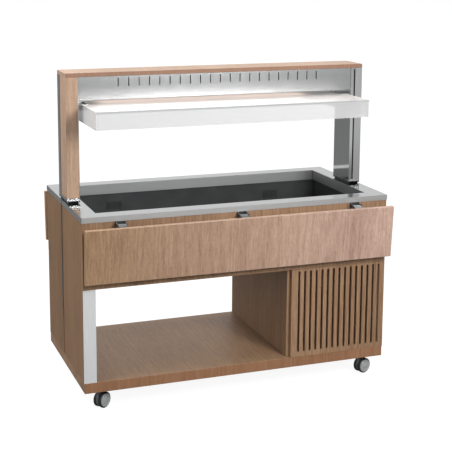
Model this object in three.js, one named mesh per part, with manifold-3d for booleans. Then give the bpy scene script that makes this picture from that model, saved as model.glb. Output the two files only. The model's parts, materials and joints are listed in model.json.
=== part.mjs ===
// Mobile salad bar: a castored wooden carcass with a chilled well in a steel worktop, two uprights that
// carry a lit hood and a clear guard, and a folding tray along each long side.
// Millimetres, +Z up. The origin is on the floor under the middle of the worktop, X runs along the
// length and -Y is the front.
import * as THREE from "three";
import { mergeVertices } from "three/addons/utils/BufferGeometryUtils.js";
import Module from "manifold-3d";

const wasm = await Module();
wasm.setup();

// ---- Common values ----
const SEAT = 0.3; // gap left where one piece rests against another
const SHEET = 1.5; // stainless steel sheet
const BOARD = 19; // laminated board
const EASE = 1; // chamfer along a board's edges
const RUNNING = 0.15; // radial clearance of a pin in its bore
const ROUND = 24; // sides of a turned piece
const SMALL_ROUND = 16; // sides of a small turned piece

// ---- Worktop ----
const LENGTH = 1500; // along X
const DEPTH = 750; // along Y
const WORK_HEIGHT = 910; // floor to the worktop's upper face
const RIM_HEIGHT = 25; // folded edge round the outside
const BORDER_X = 81; // opening to the worktop's ends
const BORDER_Y = 77; // opening to its long edges
const COLLAR_HEIGHT = 50; // folded edge round the opening

// ---- Carcass ----
const CASTOR_HEIGHT = 100; // floor to the base board
const BASE_THICKNESS = 48;
const BASE_INSET = 2; // the base lies this far inside the boards' faces
const APRON_HEIGHT = 329; // worktop's upper face to the apron's lower edge
const END_BOARD = 10; // thickness of the boards on the two ends
const END_JOINT = 10; // open joint between the two boards of an end
const JOINT_SHIFT = 36; // that joint and the post behind it, off the middle of the depth
const LINER_WIDTH = 48; // steel side liner of the lower compartment
const LINER_SETBACK = 3; // liner's edge behind the boards' faces
const CUPBOARD_WIDTH = 507; // closed compartment, from its partition to the end
const GRILLE_LAP = 3; // slotted panel over the partition's front edge

// ---- Slotted panels of the closed compartment ----
const SLOT_COUNT = 15;
const SLOT_PITCH = 30;
const SLOT_WIDTH = 11;
const SLOT_FOOT = 23; // base board to the slots' lower ends
const SLOT_HEAD = 10; // apron to the slots' upper ends
const FIRST_SLOT = 39; // panel's inner edge to the middle of its first slot
const GLAND_RADIUS = 9; // cable gland in the rear panel
const GLAND_LENGTH = 12;

// ---- Chilled well ----
const TANK_DEPTH = 220; // worktop's upper face to the tank's floor
const TANK_WALL = 2;
const TANK_CORNER = 12; // corner radius of the tank
const TANK_MARGIN = 6; // tank's inner face outside the collar
const VENT_WIDTH = 70; // air vents in the tank's long walls
const VENT_HEIGHT = 30;
const VENT_INSET = 250; // tank's ends to the vents
const VENT_RISE = 108; // tank's floor to the vents
const CASING_WALL = 22; // foam round the tank
const DRAIN_RADIUS = 15;
const DRAIN_WALL = 2;
const DRAIN_INSET = 155; // tank's right end to the drain
const DRAIN_LENGTH = 149; // drain pipe below the tank's floor

// ---- Uprights ----
const UPRIGHT_WIDTH = 60; // along X
const UPRIGHT_DEPTH = 174; // along Y
const UPRIGHT_TOP = 1495;
const SPINE_WIDTH = 38; // hollow post inside the upright, along X
const SPINE_DEPTH = 50;
const SPINE_WALL = 3;
const SPINE_REACH = 554; // worktop's upper face to the post's lower end, inside the carcass
const TONGUE = 9; // strip of the post that fills the joint of the end boards
const TONGUE_RECESS = 3; // strip behind the boards' faces
const FOOT_GAP = 6; // shadow gap under the upright's foot
const FOOT_NECK = 6; // neck in that gap, inside the foot's outline
const FOOT_HEIGHT = 18;
const COVER_SHEET = 2; // sheet of the upright's metal faces
const COVER_WIDTH = 37; // metal cover's leg on the upright's narrow side
const LINER_RETURN = 15; // turned edge of the upright's inner liner
const CAP_HEIGHT = 6;

// ---- Hood ----
const ROOF_THICKNESS = 19;
const FASCIA_HEIGHT = 107;
const FASCIA_SETBACK = 5; // fascia behind the uprights' edges
const FASCIA_FLANGE = 15;
const FASCIA_SLOT_COUNT = 21;
const FASCIA_SLOT_PITCH = 50;
const FASCIA_SLOT_WIDTH = 5;
const FASCIA_SLOT_HEIGHT = 41;
const FASCIA_SLOT_DROP = 8; // roof's underside to the slots' upper ends
const LAMP_GAP_LEFT = 103; // lamp's ends to the uprights
const LAMP_GAP_RIGHT = 218;
const LAMP_WIDTH = 90;
const LAMP_STEM_WIDTH = 40;
const LAMP_DROP = 108; // roof's underside to the lamp's lowest point
const LAMP_BODY = 44; // height of the lamp's wide part
const LAMP_CROWN = 8; // depth of its diffuser
const LAMP_SHEET = 2; // sheet of the lamp's housing
const DIFFUSER_RIM = 4; // height of the diffuser's edges inside the housing
const DRIVER_LENGTH = 115; // box with the lamp's driver, on the same stem
const DRIVER_GAP = 15; // lamp to that box
const DRIVER_HEIGHT = 50;

// ---- Clear guard ----
const GUARD_DROP = 129; // roof's underside to the guard's upper face
const GUARD_HEIGHT = 82;
const GUARD_INSET_Y = 49; // worktop's long edges to the guard
const GUARD_GAP = 21; // guard's ends to the uprights
const GUARD_SHEET = 6;
const GUARD_BEND = 12; // outer radius of its bends
const BRACKET_SHEET = 3;
const GUARD_ARM = 45; // bracket's leg over the guard
const GUARD_BRACKET_LENGTH = 170;
const GUARD_BRACKET_HEIGHT = 18;

// ---- Folding trays ----
const TRAY_WIDTH = 248;
const TRAY_THICKNESS = 22;
const TRAY_LEAN = 4; // degrees that a hanging tray leans inwards
const HINGE_OUT = 26; // apron's face to the hinge axis
const HINGE_DROP = 46; // worktop's upper face to the hinge axis
const TRAY_OUT = 24; // hinge axis to the tray's inner face
const TRAY_ABOVE = 5; // tray's upper edge above the hinge axis
const HINGE_INSET = 175; // tray's ends to the outer hinges
const HINGE_PIN = 5; // radius
const BRACKET_WIDTH = 46;
const CHEEK = 3.5; // side plates of a tray bracket
const CHEEK_RADIUS = 15;
const BRACKET_DROP = 52; // hinge axis to the plate's lower edge
const ARM_PLAY = 1; // between an arm and each side plate
const ARM_WALL = 2.5;
const KNUCKLE_RADIUS = 13;
const ARM_LENGTH = 190; // hinge axis to the arm's end
const ARM_DEPTH = 24; // along the middle of its length
const HEEL_HEIGHT = 14; // heel at its lower end, which rests on the apron

// ---- Castors ----
const CASTOR_INSET_X = 84; // from the base board's ends to the swivel axis
const CASTOR_INSET_Y = 64; // from its long edges to the swivel axis
const WHEEL_RADIUS = 37.5;
const WHEEL_WIDTH = 16;
const WHEEL_SPACING = 30; // between the two wheels' middles
const TREAD_ROUND = 4;
const DISC_RADIUS = 31;
const DISC_RECESS = 1.2; // groove between tyre and disc
const AXLE_RADIUS = 4;
const TRAIL = 15; // swivel axis to the axle
const FORK_WIDTH = 12;
const FORK_GUARD_RADIUS = 34;
const HEAD_RADIUS = 26;
const HEAD_HEIGHT = 11;
const PIVOT_RADIUS = 6;
const PIVOT_DEPTH = 8;
const PLATE_SIDE = 62;
const PLATE_THICKNESS = 3;
const PLATE_CORNER = 6;
// Degrees from +X to the side that each castor's wheels trail to.
const CASTOR_TURNS = { front_left: 34, front_right: 16, rear_left: 110, rear_right: 60 };

// ---- Refrigeration in the closed compartment ----
const COMPRESSOR_RADIUS = 78;
const COMPRESSOR_HEIGHT = 175;
const COMPRESSOR_INSET = 253; // rear face of the carcass to the compressor's middle
const SKID_THICKNESS = 3;
const COIL_WIDTH = 320;
const COIL_HEIGHT = 270;
const COIL_DEPTH = 50;
const COIL_INSET = 73; // front face of the carcass to the coil
const FIN_COUNT = 20;
const FIN_THICKNESS = 2;
const COIL_FRAME = 4;
const COIL_RAISE = 25; // base board to the coil
const DUCT_RADIUS = 122;
const DUCT_WALL = 3;
const DUCT_DEPTH = 34;
const MOTOR_RADIUS = 34;
const MOTOR_LENGTH = 52;
const STAY_WIDTH = 12; // flat bars that hold the motor
const STAY_THICKNESS = 3;
const SHAFT_RADIUS = 4;
const FAN_RADIUS = 114;
const FAN_HUB_RADIUS = 32;
const FAN_HUB_LENGTH = 22;
const BLADE_COUNT = 5;
const BLADE_THICKNESS = 3;
const BLADE_PITCH = 28; // degrees
const BLADE_CHORD = 46;

// ---- Places worked out from the sizes above ----
const FACE_X = LENGTH / 2 - SHEET - SEAT; // outer faces of the carcass boards
const FACE_Y = DEPTH / 2 - SHEET - SEAT;
const UNDER_TOP = WORK_HEIGHT - SHEET - SEAT;
const OPENING_X = LENGTH / 2 - BORDER_X; // half lengths and half depths of the opening and of the tank
const OPENING_Y = DEPTH / 2 - BORDER_Y;
const BASE_TOP = CASTOR_HEIGHT + BASE_THICKNESS;
const ON_BASE = BASE_TOP + SEAT;
const APRON_FOOT = WORK_HEIGHT - APRON_HEIGHT;
const APRON_BACK = FACE_Y - BOARD;
const END_INNER = FACE_X - END_BOARD;
const TANK_FLOOR = WORK_HEIGHT - TANK_DEPTH;
const TANK_X = OPENING_X + TANK_MARGIN;
const TANK_Y = OPENING_Y + TANK_MARGIN;
const DRAIN_X = TANK_X - DRAIN_INSET;
const PARTITION_X = FACE_X - CUPBOARD_WIDTH;
const CUPBOARD_X = (PARTITION_X + BOARD + END_INNER - LINER_WIDTH) / 2;
const GRILLE_X = PARTITION_X + BOARD - GRILLE_LAP; // inner edge of the slotted panels
const LINER_Y = FACE_Y - LINER_SETBACK; // front and rear faces of the left side liner
const UPRIGHT_INNER = FACE_X - UPRIGHT_WIDTH;
const UPRIGHT_Y = UPRIGHT_DEPTH / 2;
const SPINE_X = END_INNER - SPINE_WIDTH; // inner face of the post
const SPINE_FOOT = WORK_HEIGHT - SPINE_REACH;
const JOINT_FRONT = JOINT_SHIFT - END_JOINT / 2; // the joint's two sides on the left
const JOINT_REAR = JOINT_SHIFT + END_JOINT / 2;
const FOOT_TOP = WORK_HEIGHT + SEAT + FOOT_GAP + FOOT_HEIGHT;
const CLADDING_FOOT = FOOT_TOP + SEAT;
const CLADDING_TOP = UPRIGHT_TOP - SEAT;
const FASCIA_Y = UPRIGHT_Y - FASCIA_SETBACK;
const FASCIA_FOOT = UPRIGHT_TOP - FASCIA_HEIGHT;
const LAMP_EDGE = UPRIGHT_TOP - LAMP_DROP + LAMP_CROWN; // lower edge of the lamp's housing
const LAMP_SHOULDER = LAMP_EDGE + LAMP_BODY;
const LAMP_LEFT = LAMP_GAP_LEFT - UPRIGHT_INNER;
const LAMP_RIGHT = UPRIGHT_INNER - LAMP_GAP_RIGHT;
const GUARD_TOP = UPRIGHT_TOP - GUARD_DROP;
const GUARD_X = UPRIGHT_INNER - GUARD_GAP; // half length and half depth of the guard
const GUARD_Y = DEPTH / 2 - GUARD_INSET_Y;
const HINGE_Y = FACE_Y + HINGE_OUT;
const HINGE_Z = WORK_HEIGHT - HINGE_DROP;
const HINGE_PITCH = LENGTH / 2 - HINGE_INSET; // between neighbouring hinges
const ARM_WIDTH = BRACKET_WIDTH - 2 * CHEEK - 2 * ARM_PLAY;
const AXLE_Z = WHEEL_RADIUS * Math.cos(Math.PI / ROUND); // a flat of the tyre lies on the floor
const HEAD_TOP = CASTOR_HEIGHT - PLATE_THICKNESS - 2 * SEAT;
const COMPRESSOR_Y = FACE_Y - COMPRESSOR_INSET;
const COIL_Y = COIL_INSET - FACE_Y; // front face of the coil
const COIL_BACK = COIL_Y + COIL_DEPTH;
const COIL_FOOT = ON_BASE + COIL_RAISE;
const FAN_Z = COIL_FOOT + COIL_HEIGHT / 2;
const FAN_Y = COIL_BACK + DUCT_DEPTH / 2 + COIL_FRAME; // middle of the fan
const MOTOR_Y = FAN_Y + FAN_HUB_LENGTH / 2 + 2 * STAY_THICKNESS; // front face of the motor

// ---- Colours and finishes ----
const finish = (color, roughness, metalness = 0) =>
  new THREE.MeshStandardMaterial({ color, roughness, metalness });
const OAK = () => finish(0xa58a6c, 0.55);
const STEEL = () => finish(0xc8c9c8, 0.32, 1);
const DARK_STEEL = () => finish(0x3a3b3c, 0.45, 0.8);
const BLACK_TANK = () => finish(0x1c1d1e, 0.4, 0.3);
const CASING = () => finish(0xb4b5b4, 0.5, 0.9);
const CLEAR = () => finish(0xe8eeee, 0.08);
const LAMP = () => finish(0xf4e6da, 0.5);
const LAMP_WHITE = () => finish(0xd8d8d6, 0.5);
const RUBBER = () => finish(0x1a1a1a, 0.7);
const FORK_GREY = () => finish(0x6f7478, 0.45);
const COMPRESSOR_BLACK = () => finish(0x151617, 0.5);

// ---- Shape helpers ----

// A closed solid of a geometry, with its shared vertices merged.
function solid(geometry) {
  const bare = geometry.clone();
  bare.deleteAttribute("normal");
  bare.deleteAttribute("uv");
  const merged = mergeVertices(bare, 1e-4);
  const vertProperties = merged.attributes.position.array;
  const triVerts = new Uint32Array(merged.index.array);
  return new wasm.Manifold(new wasm.Mesh({ numProp: 3, vertProperties, triVerts }));
}

// The geometry of a solid.
function geometryOf(body) {
  const mesh = body.getMesh();
  const geometry = new THREE.BufferGeometry();
  geometry.setAttribute("position", new THREE.BufferAttribute(mesh.vertProperties, 3));
  geometry.setIndex(new THREE.BufferAttribute(mesh.triVerts, 1));
  const flat = geometry.toNonIndexed();
  flat.computeVertexNormals();
  return flat;
}

const join = (...geometries) => geometryOf(geometries.map(solid).reduce((a, b) => a.add(b)));
const cut = (body, ...tools) => geometryOf(tools.map(solid).reduce((a, b) => a.subtract(b), solid(body)));

// Extrudes a shape along an axis, from one place to another. The shape's own two axes are the next two in
// the order x, y, z, x, y: an extrusion along x has its shape drawn in y and z, and one along y in z and x.
function extrude(shape, axis, from, to, { ease = 0, curveSegments = 3 } = {}) {
  const geometry = new THREE.ExtrudeGeometry(shape, {
    depth: to - from - 2 * ease,
    bevelEnabled: ease > 0,
    bevelThickness: ease,
    bevelSize: ease,
    bevelOffset: -ease,
    bevelSegments: 1,
    curveSegments,
  });
  geometry.translate(0, 0, from + ease);
  const [x, y, z] = [new THREE.Vector3(1, 0, 0), new THREE.Vector3(0, 1, 0), new THREE.Vector3(0, 0, 1)];
  const turned = { x: [y, z, x], y: [z, x, y], z: [x, y, z] }[axis];
  return geometry.applyMatrix4(new THREE.Matrix4().makeBasis(...turned));
}

const polygon = (points) => new THREE.Shape(points.map(([a, b]) => new THREE.Vector2(a, b)));
const rectangle = (a0, a1, b0, b1) => polygon([[a0, b0], [a1, b0], [a1, b1], [a0, b1]]);
const circle = (radius, a = 0, b = 0) => new THREE.Shape().absarc(a, b, radius, 0, 2 * Math.PI);

// A block between two corners.
function block([x0, y0, z0], [x1, y1, z1]) {
  return extrude(rectangle(x0, x1, y0, y1), "z", z0, z1);
}

// A board between two corners, its edges eased, with its thickness along the named axis.
function board([x0, y0, z0], [x1, y1, z1], thickness) {
  const face = { x: [y0, y1, z0, z1], y: [z0, z1, x0, x1], z: [x0, x1, y0, y1] }[thickness];
  const span = { x: [x0, x1], y: [y0, y1], z: [z0, z1] }[thickness];
  return extrude(rectangle(...face), thickness, ...span, { ease: EASE });
}

// A closed outline from one half of it, given from its lower end, and the mirror image in the second axis.
const mirrored = (half) => polygon([...half, ...half.map(([a, b]) => [-a, b]).reverse()]);

// A rectangle with round corners about the origin.
function roundedRectangle(halfA, halfB, radius) {
  const shape = new THREE.Shape();
  shape.absarc(halfA - radius, halfB - radius, radius, 0, Math.PI / 2);
  shape.absarc(-halfA + radius, halfB - radius, radius, Math.PI / 2, Math.PI);
  shape.absarc(-halfA + radius, -halfB + radius, radius, Math.PI, 1.5 * Math.PI);
  shape.absarc(halfA - radius, -halfB + radius, radius, 1.5 * Math.PI, 2 * Math.PI);
  return shape;
}

// A slot with round ends, long along the shape's first axis.
function slot(middleA, middleB, length, width) {
  const reach = (length - width) / 2;
  const shape = new THREE.Shape();
  shape.absarc(middleA + reach, middleB, width / 2, -Math.PI / 2, Math.PI / 2);
  shape.absarc(middleA - reach, middleB, width / 2, Math.PI / 2, 1.5 * Math.PI);
  return shape;
}

// A run of places at one pitch, centred on the middle.
const centred = (count, pitch) => Array.from({ length: count }, (_, i) => (i - (count - 1) / 2) * pitch);

// The outline of a folded sheet. The points follow one of its faces, and the sheet lies to their left.
function folded(points, thickness) {
  const at = points.map(([a, b]) => new THREE.Vector2(a, b));
  const left = (p, q) => new THREE.Vector2(p.y - q.y, q.x - p.x).normalize();
  const other = at.map((p, i) => {
    const before = i > 0 ? left(at[i - 1], p) : left(p, at[i + 1]);
    const after = i < at.length - 1 ? left(p, at[i + 1]) : before;
    const mitre = before.clone().add(after).normalize();
    return p.clone().addScaledVector(mitre, thickness / mitre.dot(before));
  });
  return new THREE.Shape([...at, ...other.reverse()]);
}

// The radius of a bore that a pin turns in, both drawn with flat sides.
const bored = (radius) => radius / Math.cos(Math.PI / SMALL_ROUND) + RUNNING;

// A cylinder along an axis.
function rod(radius, axis, from, to, { a = 0, b = 0, sides = SMALL_ROUND } = {}) {
  const points = Array.from({ length: sides }, (_, i) => {
    const angle = ((i + 0.5) * 2 * Math.PI) / sides;
    return [a + radius * Math.cos(angle), b + radius * Math.sin(angle)];
  });
  return extrude(polygon(points), axis, from, to);
}

const degrees = THREE.MathUtils.degToRad;
const salad_bar = new THREE.Group();

// Puts a geometry in the model as one named piece.
function piece(name, geometry, material, parent = salad_bar) {
  const mesh = new THREE.Mesh(geometry, material);
  mesh.name = name;
  parent.add(mesh);
  return mesh;
}

// A piece that stands on both ends or both long sides: side is -1 for left or front and 1 for the other.
const ENDS = { left: -1, right: 1 };
const FACES = { front: -1, rear: 1 };
const span = (side, near, far) => [side * near, side * far].sort((a, b) => a - b);

// ---- Carcass ----

function baseBoard() {
  const x = FACE_X - BASE_INSET;
  const y = FACE_Y - BASE_INSET;
  return board([-x, -y, CASTOR_HEIGHT], [x, y, BASE_TOP], "z");
}

// One of the two boards that cover an end, with the open joint between them.
function endPanel(end, face) {
  const [x0, x1] = span(end, END_INNER, FACE_X);
  const joint = -end * JOINT_SHIFT + (face * END_JOINT) / 2;
  const [y0, y1] = [joint, face * FACE_Y].sort((a, b) => a - b);
  const panel = board([x0, y0, ON_BASE], [x1, y1, UNDER_TOP], "x");
  return end < 0 ? cut(panel, linerRebate(face)) : panel;
}

// The rebate in an end board's edge that the flange of the left side liner covers.
function linerRebate(face) {
  const [y0, y1] = span(face, LINER_Y - SHEET - SEAT, FACE_Y + BOARD);
  return block([-FACE_X - BOARD, y0, CASTOR_HEIGHT], [-END_INNER + BOARD, y1, APRON_FOOT]);
}

// A folded sheet that lines an end of the lower compartment, between two half depths. Its flanges reach out
// to the given half length.
function sideLiner(end, reach, flange) {
  const inner = end * (END_INNER - LINER_WIDTH);
  const outer = end * flange;
  const points = [[outer, -reach], [inner, -reach], [inner, reach], [outer, reach]];
  const outline = folded(end < 0 ? points : points.reverse(), SHEET);
  return extrude(outline, "z", ON_BASE, APRON_FOOT - SEAT);
}

// The partition stands back behind the front panel and is flush at the rear.
function partition() {
  const low = [PARTITION_X, SEAT - APRON_BACK, ON_BASE];
  return board(low, [PARTITION_X + BOARD, FACE_Y - BASE_INSET, APRON_FOOT - SEAT], "x");
}

function apron(face) {
  const [y0, y1] = span(face, APRON_BACK, FACE_Y);
  const x = END_INNER - SEAT;
  return board([-x, y0, APRON_FOOT], [x, y1, UNDER_TOP], "y");
}

// The slotted panel on one side of the closed compartment.
function grille(face) {
  const [y0, y1] = span(face, APRON_BACK, FACE_Y);
  const inner = face < 0 ? GRILLE_X : PARTITION_X + BOARD + SEAT;
  const panel = rectangle(ON_BASE, APRON_FOOT - SEAT, inner, END_INNER - SEAT);
  const [foot, head] = [BASE_TOP + SLOT_FOOT, APRON_FOOT - SLOT_HEAD];
  for (let i = 0; i < SLOT_COUNT; i++) {
    const x = GRILLE_X + FIRST_SLOT + i * SLOT_PITCH;
    panel.holes.push(slot((foot + head) / 2, x, head - foot, SLOT_WIDTH));
  }
  return extrude(panel, "y", y0, y1);
}

// The rear panel also carries the gland of the mains lead, near its inner lower corner.
function rearGrille() {
  const x = GRILLE_X + FIRST_SLOT / 2;
  const z = BASE_TOP + SLOT_FOOT + 2 * GLAND_RADIUS;
  const gland = rod(GLAND_RADIUS, "y", FACE_Y - BOARD / 2, FACE_Y + GLAND_LENGTH, { a: z, b: x });
  const bore = rod(GLAND_RADIUS / 2, "y", FACE_Y, FACE_Y + 2 * GLAND_LENGTH, { a: z, b: x });
  return cut(join(grille(FACES.rear), gland), bore);
}

piece("base_board", baseBoard(), OAK());
for (const [end, endSide] of Object.entries(ENDS)) {
  for (const [face, faceSide] of Object.entries(FACES)) {
    piece(`end_panel_${end}_${face}`, endPanel(endSide, faceSide), OAK());
  }
}
piece("side_liner_left", sideLiner(ENDS.left, LINER_Y, FACE_X - SEAT), STEEL());
piece("side_liner_right", sideLiner(ENDS.right, APRON_BACK - SEAT, END_INNER - SEAT), STEEL());
piece("partition", partition(), OAK());
piece("apron_front", apron(FACES.front), OAK());
piece("apron_rear", apron(FACES.rear), OAK());
piece("grille_front", grille(FACES.front), OAK());
piece("grille_rear", rearGrille(), OAK());

// ---- Worktop and well ----

// Room in the worktop for the uprights' posts, open through its rim for their tongues.
function postCuts() {
  const low = WORK_HEIGHT - COLLAR_HEIGHT;
  const high = WORK_HEIGHT + SHEET;
  return Object.values(ENDS).flatMap((end) => {
    const [x0, x1] = span(end, SPINE_X - SEAT, END_INNER + SEAT);
    const [t0, t1] = span(end, END_INNER, LENGTH / 2 + SHEET);
    const at = -end * JOINT_SHIFT;
    const y = SPINE_DEPTH / 2 + SEAT;
    const t = TONGUE / 2 + SEAT;
    return [block([x0, at - y, low], [x1, at + y, high]), block([t0, at - t, low], [t1, at + t, high])];
  });
}

// A level ring between two half lengths and two half depths.
function ring(outerX, outerY, innerX, innerY, low, high) {
  const outline = rectangle(-outerX, outerX, -outerY, outerY);
  outline.holes.push(rectangle(-innerX, innerX, -innerY, innerY));
  return extrude(outline, "z", low, high);
}

// The steel top: a plate with a folded rim outside and a folded collar round the opening.
function worktop() {
  const [x, y] = [LENGTH / 2, DEPTH / 2];
  const [ox, oy] = [OPENING_X, OPENING_Y];
  const plate = ring(x, y, ox, oy, WORK_HEIGHT - SHEET, WORK_HEIGHT);
  const rim = ring(x, y, x - SHEET, y - SHEET, WORK_HEIGHT - RIM_HEIGHT, WORK_HEIGHT);
  const collar = ring(ox + SHEET, oy + SHEET, ox, oy, WORK_HEIGHT - COLLAR_HEIGHT, WORK_HEIGHT);
  return cut(join(plate, rim, collar), ...postCuts());
}

// The well's tank, with air vents in its long walls and a drain pipe welded in its floor.
function tank() {
  const outer = roundedRectangle(TANK_X + TANK_WALL, TANK_Y + TANK_WALL, TANK_CORNER + TANK_WALL);
  const inner = roundedRectangle(TANK_X, TANK_Y, TANK_CORNER);
  const shell = extrude(outer, "z", TANK_FLOOR - TANK_WALL, UNDER_TOP);
  const room = extrude(inner, "z", TANK_FLOOR, UNDER_TOP + TANK_WALL);
  const pipeFoot = TANK_FLOOR - DRAIN_LENGTH;
  const pipe = rod(DRAIN_RADIUS + DRAIN_WALL, "z", pipeFoot, TANK_FLOOR - TANK_WALL / 2, { a: DRAIN_X });
  const bore = rod(DRAIN_RADIUS, "z", pipeFoot - TANK_WALL, TANK_FLOOR + TANK_WALL, { a: DRAIN_X });
  return cut(join(cut(shell, room), pipe), bore, ...ventCuts(TANK_Y + 2 * TANK_WALL));
}

// The air vents, cut through both long walls out to a half depth.
function ventCuts(reach) {
  const z = TANK_FLOOR + VENT_RISE;
  return Object.values(ENDS).map((end) => {
    const opening = roundedRectangle(VENT_HEIGHT / 2, VENT_WIDTH / 2, TANK_CORNER / 2);
    return extrude(opening, "y", -reach, reach).translate(end * (TANK_X - VENT_INSET), 0, z);
  });
}

// The foam casing round the tank. It hangs under the worktop with it.
function casing() {
  const room = TANK_WALL + SEAT;
  const x = TANK_X + room + CASING_WALL;
  const y = TANK_Y + room + CASING_WALL;
  const foot = TANK_FLOOR - room - CASING_WALL;
  const pocket = roundedRectangle(TANK_X + room, TANK_Y + room, TANK_CORNER + room);
  const body = block([-x, -y, foot], [x, y, UNDER_TOP]);
  const hollow = extrude(pocket, "z", TANK_FLOOR - room, UNDER_TOP + SHEET);
  const pipe = rod(DRAIN_RADIUS + DRAIN_WALL + SEAT, "z", foot - SHEET, TANK_FLOOR, { a: DRAIN_X });
  return cut(body, hollow, pipe);
}

piece("worktop", worktop(), STEEL());
piece("well_tank", tank(), BLACK_TANK());
piece("well_casing", casing(), CASING());

// ---- Uprights ----
// Each upright has a wooden half and a metal half. The wood faces the front on the left and the rear on
// the right. The pieces are drawn for the left upright, and the right one is turned half a circle.

// The post with its foot, its cap and the metal half of the upright's cover, in one weldment.
function mast() {
  const foot = WORK_HEIGHT + SEAT + FOOT_GAP;
  const wall = SPINE_WALL;
  const [front, rear] = [JOINT_SHIFT - SPINE_DEPTH / 2, JOINT_SHIFT + SPINE_DEPTH / 2];
  const tube = rectangle(-END_INNER, -SPINE_X, front, rear);
  tube.holes.push(rectangle(-END_INNER + wall, -SPINE_X - wall, front + wall, rear - wall));
  const spine = extrude(tube, "z", SPINE_FOOT, CLADDING_TOP - CAP_HEIGHT / 2);
  const tongueLow = [-FACE_X + TONGUE_RECESS, JOINT_SHIFT - TONGUE / 2, SPINE_FOOT];
  const tongue = block(tongueLow, [-END_INNER + wall / 2, JOINT_SHIFT + TONGUE / 2, FOOT_TOP]);
  const plate = block([-FACE_X, -UPRIGHT_Y, foot], [-UPRIGHT_INNER, UPRIGHT_Y, FOOT_TOP]);
  const neckLow = [-FACE_X + FOOT_NECK, -UPRIGHT_Y + FOOT_NECK, WORK_HEIGHT + SEAT];
  const neck = block(neckLow, [-UPRIGHT_INNER - FOOT_NECK, UPRIGHT_Y - FOOT_NECK, foot + FOOT_HEIGHT / 2]);
  const outline = [[-FACE_X + COVER_WIDTH, UPRIGHT_Y], [-FACE_X, UPRIGHT_Y], [-FACE_X, JOINT_REAR]];
  const cover = extrude(folded(outline, COVER_SHEET), "z", foot, CLADDING_TOP);
  const capLow = [-FACE_X + COVER_SHEET / 2, JOINT_REAR, CLADDING_TOP - CAP_HEIGHT];
  const cap = block(capLow, [-SPINE_X, UPRIGHT_Y - COVER_SHEET - SEAT, CLADDING_TOP]);
  return join(spine, tongue, plate, neck, cover, cap);
}

// The polished sheet on the upright's inner side, with an edge turned over on the metal half.
function uprightLiner() {
  const x = -UPRIGHT_INNER;
  const outline = [[x, -UPRIGHT_Y], [x, UPRIGHT_Y], [x - LINER_RETURN, UPRIGHT_Y]];
  return extrude(folded(outline, COVER_SHEET), "z", CLADDING_FOOT, CLADDING_TOP);
}

// The wooden half: a front board and a side board, glued into an angle.
function uprightWood() {
  const inner = -UPRIGHT_INNER - COVER_SHEET - SEAT;
  const angle = polygon([
    [-FACE_X, -UPRIGHT_Y],
    [inner, -UPRIGHT_Y],
    [inner, -UPRIGHT_Y + BOARD],
    [-FACE_X + BOARD / 2, -UPRIGHT_Y + BOARD],
    [-FACE_X + BOARD / 2, JOINT_FRONT],
    [-FACE_X, JOINT_FRONT],
  ]);
  return extrude(angle, "z", CLADDING_FOOT, CLADDING_TOP, { ease: EASE });
}

for (const [end, side] of Object.entries(ENDS)) {
  const upright = new THREE.Group();
  upright.rotation.z = side < 0 ? 0 : Math.PI;
  salad_bar.add(upright);
  piece(`mast_${end}`, mast(), STEEL(), upright);
  piece(`upright_liner_${end}`, uprightLiner(), STEEL(), upright);
  piece(`upright_wood_${end}`, uprightWood(), OAK(), upright);
}

// ---- Hood and lamp ----

function roofBoard() {
  return board([-FACE_X, -UPRIGHT_Y, UPRIGHT_TOP], [FACE_X, UPRIGHT_Y, UPRIGHT_TOP + ROOF_THICKNESS], "z");
}

// A folded fascia with a row of upright slots. It hangs between the uprights' liners.
function fascia() {
  const x = UPRIGHT_INNER - SEAT;
  const flange = FASCIA_FLANGE - FASCIA_Y;
  const [foot, top] = [FASCIA_FOOT, CLADDING_TOP];
  const outline = [[flange, top], [-FASCIA_Y, top], [-FASCIA_Y, foot], [flange, foot]];
  const channel = extrude(folded(outline, SHEET), "x", -x, x);
  const z = UPRIGHT_TOP - FASCIA_SLOT_DROP - FASCIA_SLOT_HEIGHT / 2;
  const slots = centred(FASCIA_SLOT_COUNT, FASCIA_SLOT_PITCH).map((at) =>
    slot(z, at, FASCIA_SLOT_HEIGHT, FASCIA_SLOT_WIDTH),
  );
  return cut(channel, extrude(slots, "y", -FASCIA_Y - SHEET, -FASCIA_Y + 2 * SHEET, { curveSegments: 2 }));
}

// The lamp's housing: a sheet trough on a stem under the roof, closed at its ends. The same stem carries
// the box of the lamp's driver.
function lampHousing() {
  const [stem, half] = [LAMP_STEM_WIDTH / 2, LAMP_WIDTH / 2];
  const body = [[half, LAMP_EDGE], [half, LAMP_SHOULDER - half + stem], [stem, LAMP_SHOULDER]];
  body.push([stem, CLADDING_TOP]);
  const housing = extrude(mirrored(body), "x", LAMP_LEFT, LAMP_RIGHT);
  const inner = half - LAMP_SHEET;
  const ceiling = LAMP_SHOULDER - LAMP_SHEET;
  const trough = mirrored([[inner, LAMP_EDGE - LAMP_SHEET], [inner, ceiling - half + stem], [stem, ceiling]]);
  const hollow = extrude(trough, "x", LAMP_LEFT + LAMP_SHEET, LAMP_RIGHT - LAMP_SHEET);
  const boxLeft = LAMP_RIGHT + DRIVER_GAP;
  const boxRight = boxLeft + DRIVER_LENGTH;
  const boxY = half - stem / 2;
  const box = block([boxLeft, -boxY, LAMP_SHOULDER - DRIVER_HEIGHT], [boxRight, boxY, LAMP_SHOULDER]);
  const rail = block([LAMP_RIGHT - stem, -stem, LAMP_SHOULDER], [boxRight, stem, CLADDING_TOP]);
  const strap = block([LAMP_RIGHT - stem, -stem, ceiling], [boxRight, stem, LAMP_SHOULDER + LAMP_SHEET]);
  return join(cut(housing, hollow), box, rail, strap);
}

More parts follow.
